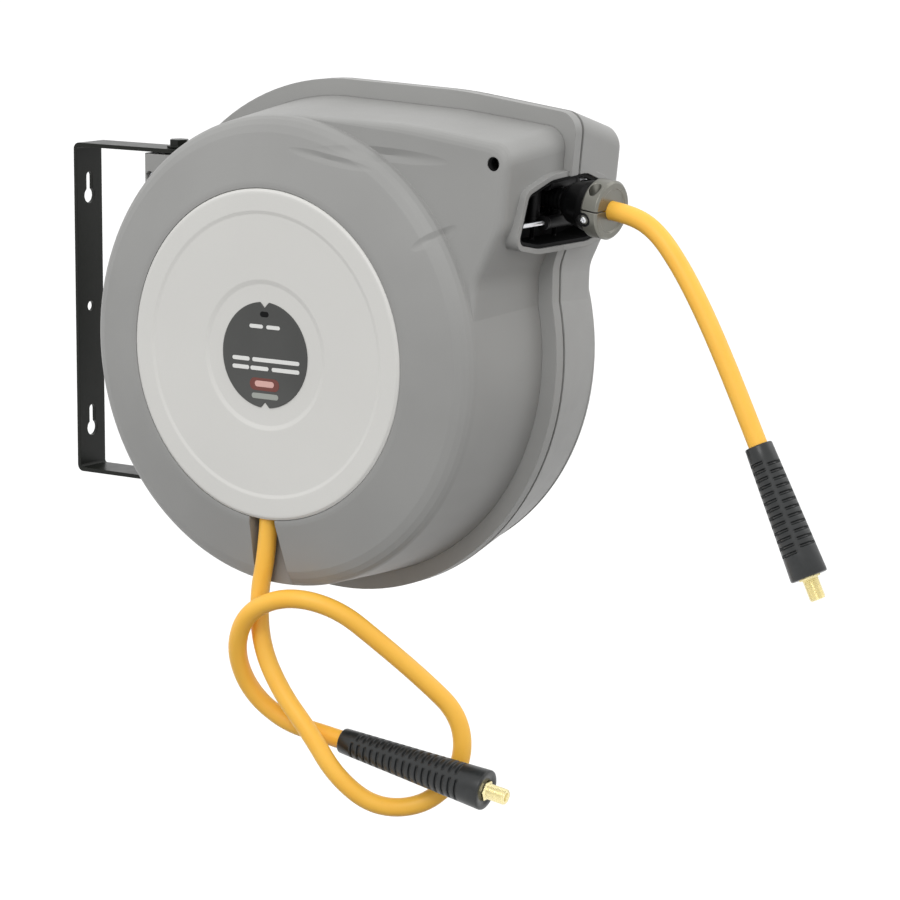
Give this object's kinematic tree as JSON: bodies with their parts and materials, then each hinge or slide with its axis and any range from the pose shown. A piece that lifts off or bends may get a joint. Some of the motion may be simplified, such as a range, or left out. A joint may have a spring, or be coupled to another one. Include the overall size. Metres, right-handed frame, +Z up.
{
  "type": "air hose reel",
  "caption": "Wall-mounted spring-return air hose reel: round two-part moulded case swivelling in a steel strap bracket, with a roller-guided outlet hose and a lead-in hose.",
  "frame": {"origin": "centre hole of the wall bracket, in the plane of the wall", "axes": "+Z up, +Y into the wall, so the reel stands out along -Y; the drum's axis is along X, and -X is the side with the air inlet"},
  "size_m": [0.2386, 0.7708, 0.6192],
  "materials": {
    "bracket_black": "gloss powder coat",
    "nylon_black": "satin",
    "zinc_steel": "zinc plated",
    "brass_fitting": "machined, slightly dull",
    "case_grey": "fine moulded grain, satin",
    "cover_grey": "fine moulded grain, satin",
    "label_charcoal": "printed film",
    "axle_steel": "turned steel",
    "hose_yellow": "smooth, satin",
    "black_rubber": "matte",
    "stop_alloy": "satin",
    "drum_black": "satin",
    "spring_steel": "blued steel, oiled",
    "case_steel": "satin",
    "roller_nylon": "satin"
  },
  "bodies": {
    "bracket": {"wall_bracket": "bracket_black", "pivot_bushes": "nylon_black"},
    "case": {"near_case_half": "case_grey", "far_case_half": "case_grey", "near_side_cover": "cover_grey", "far_side_cover": "cover_grey", "cover_label": "label_charcoal", "case_screws": "zinc_steel", "ear_screws": "zinc_steel", "pivot_bolts": "bracket_black", "pivot_inserts": "brass_fitting", "main_axle": "axle_steel", "axle_nuts": "zinc_steel", "spring_arbor": "axle_steel", "inlet_elbow": "brass_fitting", "inlet_crimp": "brass_fitting", "inner_inlet_hose": "hose_yellow", "inlet_hose": "hose_yellow", "inlet_bend_sleeve": "black_rubber", "inlet_fitting": "brass_fitting", "inner_outlet_hose": "hose_yellow", "hose_stop_upper": "stop_alloy", "hose_stop_lower": "stop_alloy", "hose_stop_screws": "zinc_steel", "hose_stop_bumper": "black_rubber", "outlet_hose": "hose_yellow", "outlet_bend_sleeve": "black_rubber", "outlet_fitting": "brass_fitting", "guide_frame": "nylon_black", "roller_pins": "zinc_steel", "pawl_pin": "zinc_steel", "pawl_spring": "spring_steel"},
    "drum": {"near_drum_flange": "drum_black", "far_drum_flange": "drum_black", "drum_barrel": "drum_black", "drum_bushes": "nylon_black", "drum_tie_bolts": "zinc_steel", "wound_hose": "hose_yellow", "ratchet_ring": "drum_black", "swivel_block": "brass_fitting", "swivel_seals": "black_rubber", "drum_pipe": "brass_fitting", "spring_case": "case_steel", "spring_case_lid": "case_steel", "mainspring": "spring_steel"},
    "pawl": {"pawl": "axle_steel"},
    "lower_guide_roller": {"lower_guide_roller": "roller_nylon"},
    "upper_guide_roller": {"upper_guide_roller": "roller_nylon"},
    "near_guide_roller": {"near_guide_roller": "roller_nylon"},
    "far_guide_roller": {"far_guide_roller": "roller_nylon"}
  },
  "joints": [
    {"name": "case_swivel", "type": "hinge", "parent": "bracket", "child": "case", "pos_m": [0, -0.1085, 0], "axis": [0, 0, 1], "range_deg": [-80, 80]},
    {"name": "drum_spin", "type": "hinge", "parent": "case", "child": "drum", "pos_m": [0, -0.2895, -0.007], "axis": [1, 0, 0], "continuous": true},
    {"name": "pawl_lift", "type": "hinge", "parent": "case", "child": "pawl", "pos_m": [-0.0678, -0.2515, 0.059], "axis": [-1, 0, 0], "range_deg": [0, 10], "stiffness_Nm_per_rad": 0.02, "deforming": ["pawl_spring"]},
    {"name": "lower_roller_spin", "type": "hinge", "parent": "case", "child": "lower_guide_roller", "pos_m": [0, -0.51009, 0.11159], "axis": [1, 0, 0], "continuous": true},
    {"name": "upper_roller_spin", "type": "hinge", "parent": "case", "child": "upper_guide_roller", "pos_m": [0, -0.51296, 0.14446], "axis": [1, 0, 0], "continuous": true},
    {"name": "near_roller_spin", "type": "hinge", "parent": "case", "child": "near_guide_roller", "pos_m": [-0.0165, -0.49897, 0.12912], "axis": [0, -0.0872, 0.9962], "continuous": true},
    {"name": "far_roller_spin", "type": "hinge", "parent": "case", "child": "far_guide_roller", "pos_m": [0.0165, -0.49897, 0.12912], "axis": [0, -0.0872, 0.9962], "continuous": true}
  ]
}
